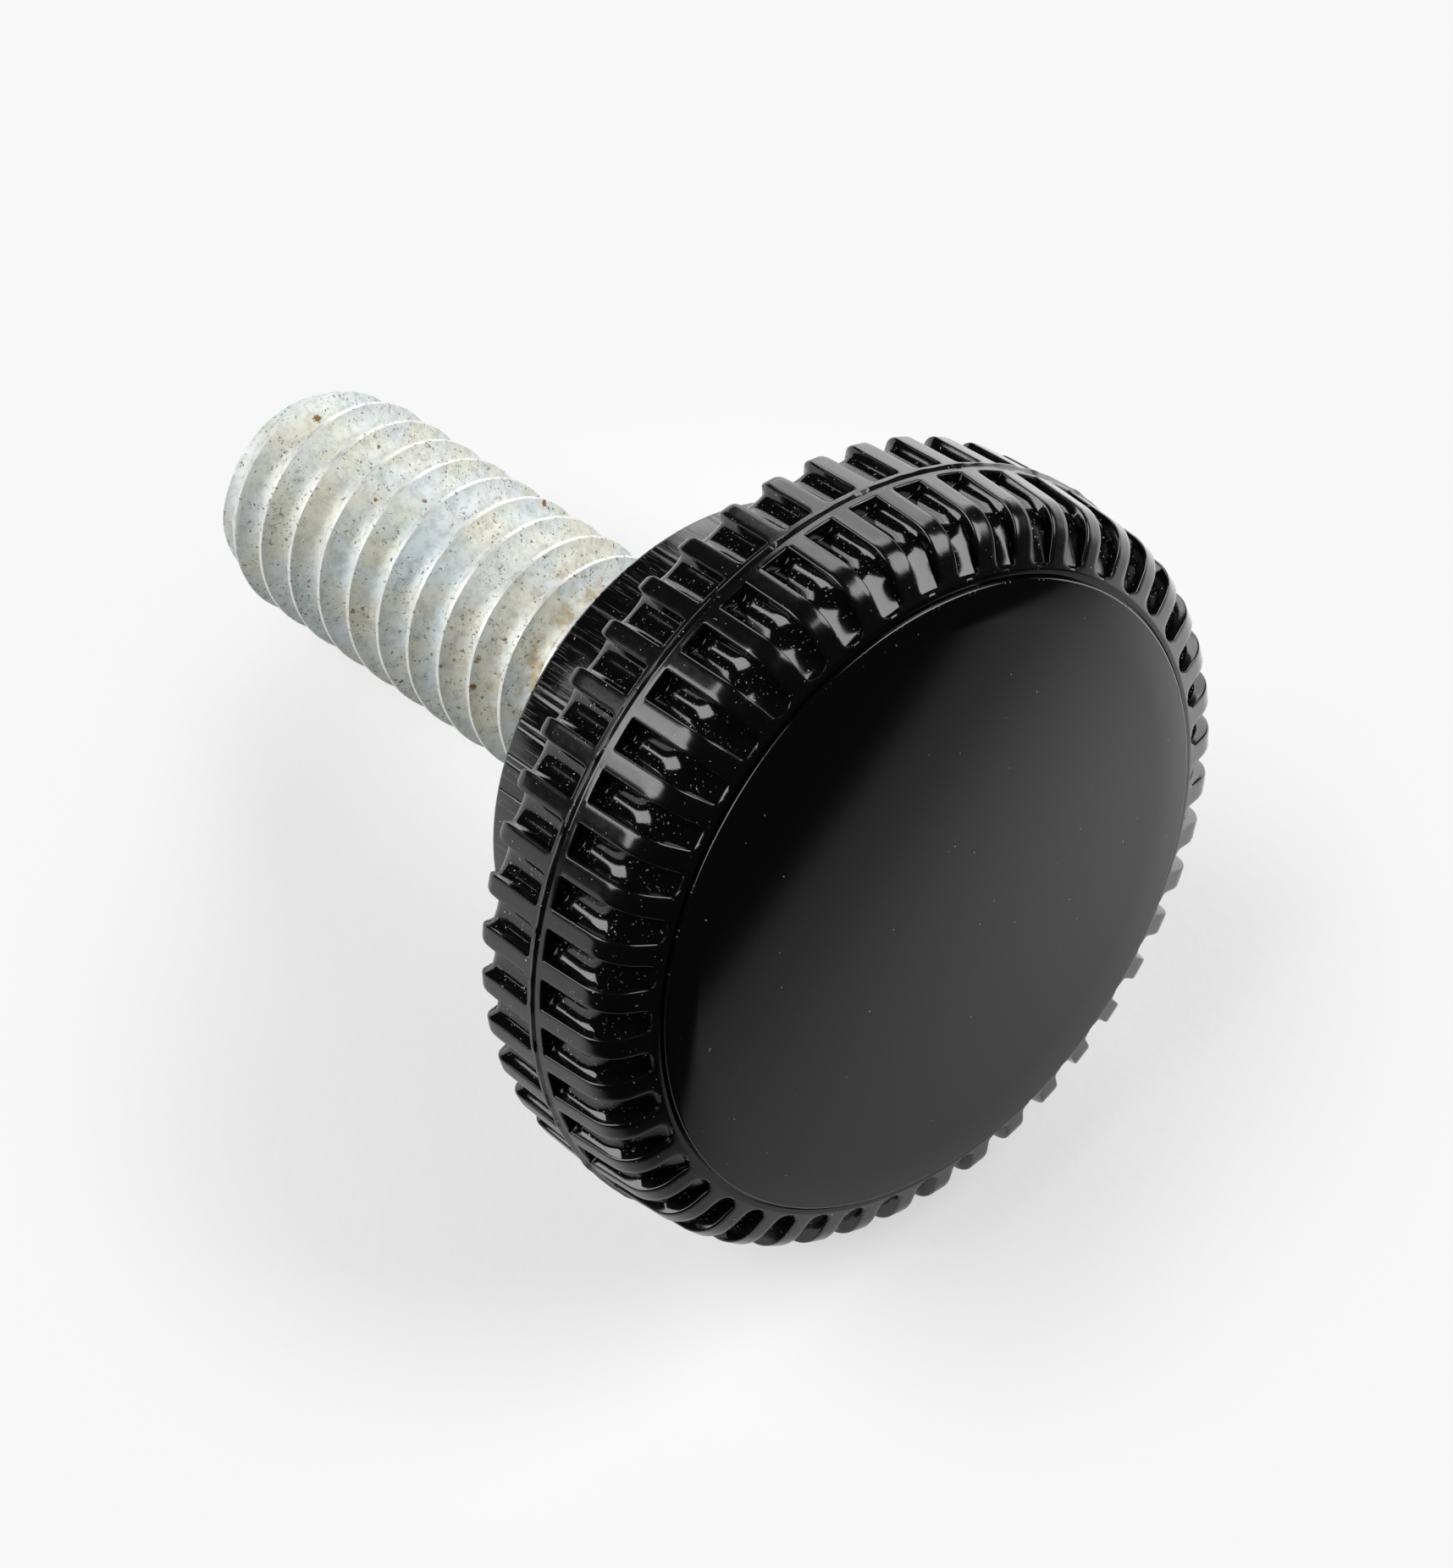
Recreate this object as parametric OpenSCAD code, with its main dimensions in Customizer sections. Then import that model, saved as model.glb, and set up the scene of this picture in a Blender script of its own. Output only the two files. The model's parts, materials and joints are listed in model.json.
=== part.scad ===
// Clamping knob: a moulded head with a ribbed rim, moulded round a threaded steel stud.
// It lies as it comes to rest, on two ribs of the back row and on the end of the stud.
// Millimetres, +Z up, floor at z = 0. The stud points to -X and the face looks to +X.
// Inside the modules the knob's own axis is Z, with the parting plane at z = 0,
// the stud towards +z and the face towards -z. lay_down() then puts it in its place.

/* [Head] */
// Diameter over the ribs at the parting line
head_d = 20.8; // [20.2:0.1:24]
// Height of the face's edge in front of the parting plane
face_h = 2.96; // [2.9:0.01:4]
// Diameter of the smooth disc of the face
face_d = 17.35; // [14:0.05:17.6]
// Rise of the face's middle over its edge
face_dome = 0.05; // [0:0.01:0.4]
// Rounding of the face's edge
face_edge_r = 0.06; // [0.02:0.01:0.4]
// Height of the flat step round the disc, in front of the parting plane
land_h = 2.83; // [2.5:0.01:2.85]
// Width of the flat step round the disc
step_w = 0.2; // [0.16:0.01:0.4]
// Width of the narrow groove at the foot of the disc
face_groove_w = 0.08; // [0.06:0.01:0.12]
// Depth of the narrow groove at the foot of the disc
face_groove_depth = 0.08; // [0.04:0.01:0.3]
// Width of the plain land between the step and the rib grooves
land_w = 0.08; // [0.06:0.01:0.3]

/* [Rim] */
// Number of grooves round each half of the rim
groove_n = 46; // [30:1:50]
// Width of a groove at the rib tops
groove_w = 0.87; // [0.5:0.05:0.95]
// Slope of each groove wall from the groove's own middle plane, in degrees
groove_wall_a = 5.5; // [0:0.5:9]
// Draft of the rib tops in front of the parting plane, in degrees
front_draft = 3.4; // [0:0.2:6]
// Slope of the land and of the ribs' front ends, in degrees
bevel_a = 18; // [8:1:30]
// Radius of the ribs' shoulder
shoulder_r = 1.7; // [0.3:0.1:2]
// Depth of a front groove at the parting plane
front_depth = 0.8; // [0.4:0.05:1]
// Plain strip between the parting plane and a front groove
front_strip = 0.31; // [0.2:0.01:0.5]
// Length of the straight part of a front groove's floor
floor_straight = 1.4; // [0.3:0.05:1.6]
// Radius where the floor of a front groove turns inwards
floor_turn_r = 0.8; // [0.2:0.1:2]
// Depth of a front groove at its closed end
groove_end_depth = 0.12; // [0.06:0.02:0.5]
// Corner radius of the closed end of a front groove
groove_end_r = 0.18; // [0.05:0.01:0.25]
// Height of the back row of ribs behind the parting plane
back_h = 2.35; // [1.6:0.05:3]
// Draft of the rib tops behind the parting plane, in degrees
back_draft = 2; // [0:0.2:5]
// Depth of a back groove
back_depth = 0.62; // [0.3:0.02:0.9]
// Plain strip between the parting plane and a back groove
back_strip = 0.23; // [0.1:0.01:0.5]
// Rounding of the back ends of the ribs and groove floors
back_edge_r = 0.5; // [0.1:0.05:0.7]
// Turn of the front row against the back row, where the mould halves meet, in degrees
front_turn = 1; // [-2:0.1:2]
// Height of the flash left on the parting line
flash_h = 0.06; // [0.02:0.01:0.2]
// Width of the flash left on the parting line
flash_w = 0.14; // [0.06:0.02:0.3]

/* [Boss] */
// Diameter of the boss at its end
boss_d = 13.8; // [11:0.1:15]
// Height of the boss's end behind the parting plane
boss_h = 5.95; // [5:0.05:8]
// Draft of the boss, in degrees
boss_draft = 1; // [0:0.5:3]
// Fillet between the boss and the back of the rim
boss_fillet_r = 0.4; // [0.1:0.05:0.8]
// Rounding of the boss's edge
boss_edge_r = 0.15; // [0.05:0.05:0.4]
// Gap between the thread and the shallow recess round it in the boss's end
recess_gap = 0.25; // [0.1:0.05:0.6]
// Depth of the shallow recess in the boss's end
recess_l = 0.3; // [0.1:0.05:0.8]

/* [Stud] */
// Diameter over the thread
stud_d = 6.45; // [5.9:0.05:7]
// Diameter of the stud's end, inside its chamfer
stud_end_d = 5.6; // [4.8:0.05:5.8]
// Length of the stud outside the boss
stud_l = 16.7; // [8:0.1:30]
// Slope of the chamfer at the stud's end, from the axis, in degrees
stud_chamfer_a = 20; // [15:1:60]
// Length of the stud inside the head
embed_l = 6.4; // [5:0.1:7]
// Diameter of the plain shank inside the head
shank_d = 5.6; // [4.6:0.1:5.7]
// Diameter of the collar that anchors the stud in the head
collar_d = 7.8; // [7:0.1:10]
// Thickness of the collar
collar_l = 2.2; // [1:0.1:2.5]
// Diameter of the neck that the moulding grips behind the collar
neck_d = 5; // [4:0.1:6]
// Length of the neck
neck_l = 1.2; // [0.6:0.1:2]
// Gap between the stud and its moulding
stud_gap = 0.01; // [0.01:0.01:0.05]

/* [Hidden] */
$fn = 96;
over = 1;
arc_n = 8;
head_r = head_d / 2;
face_r = face_d / 2;
land_r = face_r + step_w;
groove_r = land_r + land_w;
boss_r = boss_d / 2;
pitch_a = 360 / groove_n;

function unit(v) = v / norm(v);

// Turn from angle a to angle b by the short way
function short_turn(a, b) = let (d = (b - a) % 360) d > 180 ? d - 360 : d < -180 ? d + 360 : d;

// Arc of radius r that rounds the corner b between the lines to a and to c
function round_corner(a, b, c, r, n = arc_n) =
    let (u = unit(a - b),
         v = unit(c - b),
         half = acos(u * v) / 2,
         m = b + unit(u + v) * r / sin(half),
         s = b + u * r / tan(half) - m,
         e = b + v * r / tan(half) - m,
         a0 = atan2(s[1], s[0]),
         turn = short_turn(a0, atan2(e[1], e[0])))
    [for (i = [0 : n]) m + r * [cos(a0 + turn * i / n), sin(a0 + turn * i / n)]];

// Rib tops in front: a drafted wall, a shoulder and a bevel down to the land
bevel_fall = tan(bevel_a);
draft_fall = tan(front_draft);
corner_z = (land_h - (head_r - land_r) * bevel_fall) / (1 - draft_fall * bevel_fall);
corner_r = head_r - corner_z * draft_fall;
shoulder_half = (90 + front_draft + bevel_a) / 2;
shoulder_room = (corner_r - land_r) / cos(bevel_a) * tan(shoulder_half);
shoulder_fit_r = min(shoulder_r, 0.95 * shoulder_room);
shoulder = round_corner([head_r, 0], [corner_r, -corner_z], [land_r, -land_h], shoulder_fit_r);

// Face: the flat step, the narrow groove, the disc's edge and its low dome
dome_r = face_r - face_edge_r;
face_floor = land_h - face_groove_depth;
foot_r = face_r + face_groove_w;
dome = [for (i = [0 : arc_n - 1])
    let (k = i / arc_n)
    [dome_r * (1 - k), -face_h - face_dome * (2 * k - k * k)]];
face_edge = round_corner([face_r, 0], [face_r, -face_h], [0, -face_h], face_edge_r);
face_line = concat([[land_r, -land_h], [foot_r, -land_h], [foot_r, -face_floor], [face_r, -face_floor]],
                   face_edge, dome, [[0, -face_h - face_dome]]);

// Rib tops behind: a drafted wall and a rounded back end
back_r = head_r - back_h * tan(back_draft);
back_end = round_corner([head_r, 0], [back_r, back_h], [0, back_h], back_edge_r);

// Boss: a fillet at its root, a drafted wall and a rounded edge
boss_root_r = boss_r + (boss_h - back_h) * tan(boss_draft);
boss_line = concat(
    round_corner([head_r, back_h], [boss_root_r, back_h], [boss_r, boss_h], boss_fillet_r),
    round_corner([boss_root_r, back_h], [boss_r, boss_h], [0, boss_h], boss_edge_r));

flash = [[head_r, flash_w / 2], [head_r + flash_h, 0], [head_r, -flash_w / 2]];

// Floors of the grooves, which the rim is cut down to
front_floor_r = head_r - front_depth;
back_floor_r = head_r - back_depth;
floor_knee = [front_floor_r, -front_strip - floor_straight];
floor_end = [groove_r, groove_end_depth + (groove_r - land_r) * bevel_fall - land_h];
front_floor = round_corner([front_floor_r, 0], floor_knee, floor_end, floor_turn_r);
back_floor_end_r = back_floor_r - back_h * tan(back_draft);
back_floor = round_corner([back_floor_r, 0], [back_floor_end_r, back_h], [0, back_h], back_edge_r);

// Half width of a groove at radius r
function groove_half(r) = groove_w / 2 - (head_r - r) * tan(groove_wall_a);

// Stud: from the collar inside the head to the chamfered end
collar_z = boss_h - embed_l;
neck_z = collar_z + collar_l;
thread_z = boss_h + stud_gap;
recess_z = boss_h - recess_l;
recess_r = stud_d / 2 + recess_gap;
stud_end = boss_h + stud_l;
chamfer_l = (stud_d - stud_end_d) / 2 / tan(stud_chamfer_a);
tip_line = [[stud_d / 2, stud_end - chamfer_l], [stud_end_d / 2, stud_end]];

// Where the knob comes to rest: the lowest rib edges and the stud's end touch the floor together
rest_line = [for (p = back_end) [sqrt(p[0] * p[0] - groove_w * groove_w / 4), p[1]]];
function reach(line, t) = max([for (p = line) p[0] * cos(t) + p[1] * sin(t)]);
function rest_angle(lo, hi, n) =
    let (m = (lo + hi) / 2)
    n == 0 ? m
    : reach(rest_line, m) > reach(tip_line, m) ? rest_angle(m, hi, n - 1)
    : rest_angle(lo, m, n - 1);
rest_tilt = rest_angle(0, 60, 40);
rest_h = reach(rest_line, rest_tilt);
fore_x = max([for (p = concat(shoulder, face_line)) p[0] * sin(rest_tilt) - p[1] * cos(rest_tilt)]);
aft_x = max([for (p = tip_line) p[0] * sin(rest_tilt) + p[1] * cos(rest_tilt)]);

// Puts a piece modelled on the knob's axis where it rests, over the middle of its own box
module lay_down() {
    translate([(aft_x - fore_x) / 2, 0, rest_h])
        rotate([0, -90 - rest_tilt, 0])
            children();
}

// The whole head before its grooves are cut
module rim_and_boss() {
    rotate_extrude()
        polygon(concat(flash, shoulder, face_line, [[0, boss_h]],
                       [for (i = [len(boss_line) - 1 : -1 : 0]) boss_line[i]],
                       [for (i = [len(back_end) - 1 : -1 : 0]) back_end[i]]));
}

// One groove seen along the axis, with a round cornered inner end
module groove_outline(inner_r, corner_r) {
    outer_r = head_r + over;
    inner = [inner_r, groove_half(inner_r)];
    outer = [outer_r, groove_half(outer_r)];
    corner = round_corner([inner_r, 0], inner, outer, corner_r, 4);
    polygon(concat(corner, [outer, [outer_r, -outer[1]]],
                   [for (i = [len(corner) - 1 : -1 : 0]) [corner[i][0], -corner[i][1]]]));
}

// A ring of groove cuts, from z = 0 up
module groove_ring(inner_r, corner_r, h) {
    linear_extrude(height = h)
        for (k = [0 : groove_n - 1])
            rotate(k * pitch_a)
                groove_outline(inner_r, corner_r);
}

// The solid under the groove floors, which closes the cuts from below
module groove_floors() {
    inner_r = groove_r - over;
    rotate_extrude()
        polygon(concat([[inner_r, floor_end[1]], floor_end],
                       [for (i = [len(front_floor) - 1 : -1 : 0]) front_floor[i]],
                       [[front_floor_r, 0], [back_floor_r, 0]],
                       back_floor,
                       [[inner_r, back_h]]));
}

// The stud's outline inside the head, let out by a gap, and what follows it outside
function stud_line(gap, end) =
    concat([[0, collar_z], [collar_d / 2 + gap, collar_z],
            [collar_d / 2 + gap, neck_z], [neck_d / 2 + gap, neck_z],
            [neck_d / 2 + gap, neck_z + neck_l], [shank_d / 2 + gap, neck_z + neck_l]],
           end);

// The hollow that the stud fills, with the shallow recess at its mouth
module stud_socket() {
    mouth = [[shank_d / 2 + stud_gap, recess_z], [recess_r, recess_z],
             [recess_r, boss_h + over], [0, boss_h + over]];
    rotate_extrude()
        polygon(stud_line(stud_gap, mouth));
}

module knob_head() {
    color([0.07, 0.07, 0.075])
        lay_down()
            difference() {
                union() {
                    difference() {
                        rim_and_boss();
                        rotate(front_turn)
                            translate([0, 0, -front_strip])
                                mirror([0, 0, 1])
                                    groove_ring(groove_r, groove_end_r, face_h + face_dome + over);
                        translate([0, 0, back_strip])
                            groove_ring(groove_r, groove_end_r, back_h);
                    }
                    groove_floors();
                }
                stud_socket();
            }
}

module threaded_stud() {
    thread = concat([[shank_d / 2, thread_z], [stud_d / 2, thread_z]], tip_line, [[0, stud_end]]);
    color([0.76, 0.78, 0.74])
        lay_down()
            rotate_extrude()
                polygon(stud_line(0, thread));
}

knob_head();
threaded_stud();
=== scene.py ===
"""Dresses the clamping knob: its ribbed head, its threaded stud, and the table, lamps and camera round it.

The knob's own frame has its origin on the axis at the parting plane of the mould. z runs to the end of
the stud, so the face is at negative z. x points to the top of the lying knob and y is the world's y.
"""

import json
import math

import bpy
import numpy as np
from mathutils import Matrix, Vector


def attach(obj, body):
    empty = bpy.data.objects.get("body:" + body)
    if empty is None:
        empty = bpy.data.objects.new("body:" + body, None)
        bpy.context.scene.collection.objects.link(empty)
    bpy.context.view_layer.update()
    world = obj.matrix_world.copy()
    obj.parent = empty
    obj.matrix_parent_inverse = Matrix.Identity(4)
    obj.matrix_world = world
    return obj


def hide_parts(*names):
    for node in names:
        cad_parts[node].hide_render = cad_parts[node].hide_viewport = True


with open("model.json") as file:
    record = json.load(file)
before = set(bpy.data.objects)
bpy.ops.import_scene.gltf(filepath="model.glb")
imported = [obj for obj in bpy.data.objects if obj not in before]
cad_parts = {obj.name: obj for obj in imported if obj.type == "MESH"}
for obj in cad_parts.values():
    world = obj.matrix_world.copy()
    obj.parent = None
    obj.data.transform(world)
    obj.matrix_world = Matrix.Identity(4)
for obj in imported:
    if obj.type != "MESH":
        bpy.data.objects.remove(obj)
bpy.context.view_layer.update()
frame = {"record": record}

bl_info = {
    "name": "Clamping knob",
    "version": (1, 0, 0),
    "blender": (4, 5, 0),
    "location": "View3D > Sidebar > Knob",
    "description": "Builds the head and the stud of a clamping knob and the table it lies on",
    "category": "Add Mesh",
}

MM = 0.001
PHOTO_W = 1716
PHOTO_H = 1852
SENSOR = 36.0
MOUNTS = {mount["name"]: mount for mount in frame["record"]["mounts"]}
SHARP_A = math.radians(60)
WELD_GAP = MM * 1e-4

# How finely the surfaces are divided.
DOME_STEPS = 8
SHOULDER_STEPS = 12
TURN_STEPS = 8
GROOVE_ROWS = 22
BACK_ROWS = 10
STUD_COLUMNS = 160
VALLEY = (0, 0.03, 0.08, 0.15, 0.24, 0.34, 0.45, 0.55, 0.66, 0.76, 0.85, 0.92, 0.97, 1)

# Shares of the groove floors' sag that are left at the closed front ends and in the back row.
END_SAG = 0.25
BACK_SAG = 0.6

# The thread's valley follows this power of the distance from its middle.
VALLEY_POWER = 2.2

# Share of the flash's height by which it varies, and wave counts and seeds of flash and scrape lines.
FLASH_UNEVEN = 0.4
FLASH_WAVES, FLASH_SEED = (23, 41, 67, 97), 3
SCRAPE_WAVES, SCRAPE_SEED = (61, 83, 127, 149, 191, 233), 5

# Each lamp's name, azimuth and height in degrees, distance and size in millimetres, and radiance setting.
LAMPS = (
    ("Left softbox", -132, 41, 500, (410, 350), "left_radiance"),
    ("Right softbox", 57, 38, 500, (350, 355), "right_radiance"),
    ("Back softbox", 134, 30, 300, (155, 84), "back_radiance"),
    ("Back wall", 133, 10, 300, (170, 126), "wall_radiance"),
)


def length(name, value, text):
    """A length property, given in millimetres and kept in metres."""
    return bpy.props.FloatProperty(
        name=name, description=text, default=value * MM, unit="LENGTH", precision=5)


def angle(name, value, text):
    """An angle property, given in degrees."""
    return bpy.props.FloatProperty(
        name=name, description=text, default=math.radians(value), subtype="ANGLE")


def share(name, value, text):
    """A property without a unit."""
    return bpy.props.FloatProperty(name=name, description=text, default=value)


def colour(name, value, text):
    """A linear colour property."""
    return bpy.props.FloatVectorProperty(
        name=name, description=text, default=value, subtype="COLOR", size=3)


class KnobHeadSizes(bpy.types.PropertyGroup):
    """Sizes of the moulded head."""

    head_d: length("Head diameter", 20.8, "Diameter over the ribs at the parting line")
    face_h: length("Face height", 2.96, "Height of the face's edge in front of the parting plane")
    face_d: length("Face diameter", 17.35, "Diameter of the smooth disc")
    face_dome: length("Face dome", 0.05, "Rise of the face's middle over its edge")
    face_edge_r: length("Face edge", 0.06, "Rounding of the face's edge")
    land_h: length("Step height", 2.83, "Height of the flat step round the disc over the parting plane")
    step_w: length("Step width", 0.2, "Width of the flat step round the disc")
    face_groove_w: length("Face groove width", 0.08, "Width of the groove at the foot of the disc")
    face_groove_depth: length("Face groove depth", 0.08, "Depth of the groove at the foot of the disc")
    land_w: length("Land width", 0.08, "Width of the plain land between the step and the rib grooves")
    groove_n: bpy.props.IntProperty(name="Grooves", description="Grooves round each half", default=46)
    groove_w: length("Groove width", 0.87, "Width of a groove at the rib tops")
    groove_wall_a: angle("Groove wall", 5.5, "Slope of a groove's wall")
    groove_edge: length("Rib edge", 0.05, "Rounding along the ribs' edges")
    groove_sag: share("Floor sag", 0.52, "Share of a groove's depth by which its floor rises to the walls")
    front_draft: angle("Front draft", 3.4, "Draft of the rib tops in front")
    bevel_a: angle("Bevel", 18, "Slope of the land and of the ribs' front ends")
    shoulder_r: length("Shoulder", 1.05, "Radius of the ribs' shoulder")
    front_depth: length("Front groove depth", 0.45, "Depth of a front groove at the parting plane")
    front_strip: length("Front strip", 0.31, "Plain strip in front of the parting plane")
    front_root: length("Front groove root", 0.05, "Fillet at the foot of a front groove's end wall")
    floor_straight: length("Floor straight", 1.69, "Length of a groove's floor before it turns inwards")
    floor_turn_r: length("Floor turn", 1.0, "Radius where a front groove's floor turns inwards")
    groove_end_depth: length("Groove end depth", 0.12, "Depth of a front groove at its closed end")
    groove_end_r: length("Groove end", 0.2, "Corner radius of a groove's closed end")
    back_h: length("Back height", 2.35, "Height of the back row behind the parting plane")
    back_draft: angle("Back draft", 2, "Draft of the rib tops behind")
    back_depth: length("Back groove depth", 0.42, "Depth of a back groove")
    back_strip: length("Back strip", 0.23, "Plain strip behind the parting plane")
    back_root: length("Back groove root", 0.2, "Fillet at the foot of a back groove's end wall")
    back_edge_r: length("Back end", 0.5, "Rounding of the back ends of ribs and floors")
    rib_taper: length("Rib taper", 0.26, "How much a rib's side draws in at its rounded back end")
    front_turn: angle("Front turn", 1, "Turn of the front row against the back row")
    flash_h: length("Flash height", 0.06, "Height of the flash on the parting line")
    flash_w: length("Flash width", 0.14, "Width of the flash on the parting line")
    boss_d: length("Boss diameter", 13.8, "Diameter of the boss at its end")
    boss_h: length("Boss height", 5.95, "Height of the boss's end behind the parting plane")
    boss_draft: angle("Boss draft", 1, "Draft of the boss")
    boss_fillet_r: length("Boss fillet", 0.4, "Fillet at the boss's root")
    boss_edge_r: length("Boss edge", 0.15, "Rounding of the boss's edge")
    scrape: length("Scrape depth", 0.003, "Depth of the scrape lines along the boss")


class KnobStudSizes(bpy.types.PropertyGroup):
    """Sizes of the threaded stud."""

    seat_gap: length("Seat gap", 0.01, "Gap between the thread's start and the boss")
    crest_d: length("Crest diameter", 6.45, "Diameter over the thread")
    end_d: length("End diameter", 5.6, "Diameter of the stud's end")
    stud_l: length("Stud length", 16.7, "Length outside the boss")
    lead_l: length("Lead length", 1.17, "Length of the tapered lead at the end")
    pitch: length("Pitch", 1.27, "Thread pitch")
    depth: length("Thread depth", 0.6, "Depth of the thread")
    crest_w: length("Crest width", 0.12, "Width of the flat along the crest")
    start_a: angle("Thread start", 165, "Angle of the thread at the boss")
    end_edge: length("End edge", 0.12, "Rounding of the stud's end")
    shank_d: length("Shank diameter", 5.6, "Diameter of the shank inside the boss")
    recess_gap: length("Recess gap", 0.25, "Width of the recess round the thread in the boss's end")
    recess_l: length("Recess depth", 0.3, "Depth of the recess in the boss's end")


class KnobLookSettings(bpy.types.PropertyGroup):
    """Colours and wear of plastic and zinc."""

    plastic: colour("Plastic", (0.002, 0.002, 0.0024), "Colour of the plastic")
    gloss: share("Plastic roughness", 0.085, "Roughness of the plastic where it is clean")
    handled: share("Handled roughness", 0.17, "Roughness of the rib tops, dulled by fingers")
    dust: colour("Dust", (0.45, 0.44, 0.41), "Colour of the dust")
    dust_lodged: share("Lodged dust", 0.2, "Share of specks down in the grooves")
    dust_loose: share("Loose dust", 0.035, "Share of specks on open surfaces")
    scuff: colour("Scuff", (0.05, 0.05, 0.05), "Colour of scraped plastic")
    zinc: colour("Zinc", (0.64, 0.655, 0.63), "Colour of the plating")
    zinc_cool: colour("Cool zinc", (0.56, 0.62, 0.645), "Colour of bluish plating")
    zinc_warm: colour("Warm zinc", (0.64, 0.625, 0.51), "Colour of yellowish plating")
    zinc_dull: share("Zinc roughness", 0.6, "Roughness of the plating")
    # Lighter colour of the crests: partly plating rubbed there, partly a painted highlight along the crest
    # lines.
    zinc_rubbed_sheen: colour("Bright zinc", (0.68, 0.68, 0.67), "Colour of the plating rubbed along the crests")
    pit: colour("Pit", (0.11, 0.10, 0.085), "Colour of the dark pits")
    rust: colour("Rust", (0.20, 0.10, 0.035), "Colour of the rust specks")
    stain: colour("Stain", (0.36, 0.28, 0.13), "Colour of the rust stains down in the thread")


class KnobStageSettings(bpy.types.PropertyGroup):
    """Table, lamps and camera."""

    floor_colour: colour("Floor", (0.80, 0.80, 0.80), "Colour of the table")
    floor_size: length("Floor size", 3000, "Side of the square table")
    left_radiance: share("Left softbox", 6.5, "Radiance of the softbox at the left")
    right_radiance: share("Right softbox", 6.5, "Radiance of the softbox at the right")
    back_radiance: share("Back softbox", 4.6, "Radiance of the softbox behind")
    wall_radiance: share("Back wall", 2.7, "Radiance of the lit wall under the softbox behind")
    room: share("Room", 0.02, "Radiance of the dark room round the table")
    paper_white: share("Paper white", 0.93, "Level at which the camera sees the paper")
    paper_even: share("Paper evenness", 0.5, "Share of the paper's level that the camera sees unshaded")
    paper_edge: length("Paper edge", 31.2, "Distance of the paper's front edge, as the plastic mirrors it")
    paper_edge_a: angle("Paper edge turn", -24, "Direction of the paper's front edge, from +X towards +Y")
    paper_edge_blur: length("Paper edge blur", 1, "Softness of the paper's front edge")
    # Painted shade seen only in the plastic's mirror: towards its front edge the paper darkens over the
    # fade length, down to the dimness share.
    paper_fade: length("Paper fade", 16, "Length over which the paper darkens towards its front edge")
    mirror_shade_share: share("Paper dimness", 0.22, "Share of the paper's light at its front edge")
    glare: share("Glare", 1.3, "Glow of the paper at the right, as the plastic mirrors it")
    glare_near: length("Glare start", 8, "Distance to the right at which the glow sets in")
    glare_far: length("Glare end", 34, "Distance to the right at which the glow is full")
    shade_near: length("Shaded ground", 12, "Radius of the ground that the camera sees shaded")
    shade_far: length("Even ground", 20, "Radius from which the camera sees the ground evenly white")
    camera_azimuth: angle("Azimuth", 45.94, "Camera's azimuth, from looking along +Y towards -X")
    camera_elevation: angle("Elevation", 60.85, "Camera's height over the horizon")
    camera_roll: angle("Roll", 0.56, "Camera's roll")
    camera_distance: length("Distance", 158.77, "Camera's distance from its aim")
    aim: bpy.props.FloatVectorProperty(
        name="Aim", description="Point that the camera looks at",
        default=(0.0050444, -0.0013873, 0.0111161), subtype="XYZ", unit="LENGTH", precision=5)
    focal_px: share("Focal length", 7500.0, "Camera's focal length in pixels of the photograph")


def unit(v):
    """Direction of a vector."""
    return v / np.linalg.norm(v)


def knob_frame(head, stud):
    """Origin and axes of the knob's own frame: the stud's mount gives the axis and the thread's start."""
    mount = MOUNTS["stud"]
    along = unit(np.array(mount["axis"], float))
    start = np.array(mount["pos_m"], float) - along * mount["dims"]["length_mm"] * MM / 2
    side = np.array((0.0, 1.0, 0.0))
    origin = start - along * (head.boss_h + stud.seat_gap)
    return origin, np.array((np.cross(side, along), side, along))


def round_corner(a, b, c, r, n):
    """Circle arc of radius r that rounds the corner b between the lines to a and to c, as n + 1 points."""
    u = unit(a - b)
    v = unit(c - b)
    half = math.acos(u @ v) / 2
    middle = b + unit(u + v) * r / math.sin(half)
    start = b + u * r / math.tan(half) - middle
    end = b + v * r / math.tan(half) - middle
    first = math.atan2(start[1], start[0])
    turn = (math.atan2(end[1], end[0]) - first + math.pi) % (2 * math.pi) - math.pi
    t = first + turn * np.linspace(0, 1, n + 1)
    return middle + r * np.stack((np.cos(t), np.sin(t)), 1)


def soft_corner(a, b, c, cut_a, cut_c, n):
    """Parabola that cuts the corner b, from the length cut_a towards a to the length cut_c towards c."""
    s = np.linspace(0, 1, n + 1)[:, None]
    return b + unit(a - b) * cut_a * (1 - s) ** 2 + unit(c - b) * cut_c * s ** 2


def walk(line, shares):
    """Points at the given shares of a polyline's length."""
    run = np.concatenate(([0.0], np.cumsum(np.linalg.norm(np.diff(line, axis=0), axis=1))))
    at = np.asarray(shares) * run[-1]
    return np.stack((np.interp(at, run, line[:, 0]), np.interp(at, run, line[:, 1])), 1)


def point(r, z):
    """A point of a section through the axis: radius and height."""
    return np.array((r, z), float)


def groove_half(head, r):
    """Half width of a groove at radius r: it narrows inwards by the slope of its walls."""
    return head.groove_w / 2 - (head.head_d / 2 - r) * math.tan(head.groove_wall_a)


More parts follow.
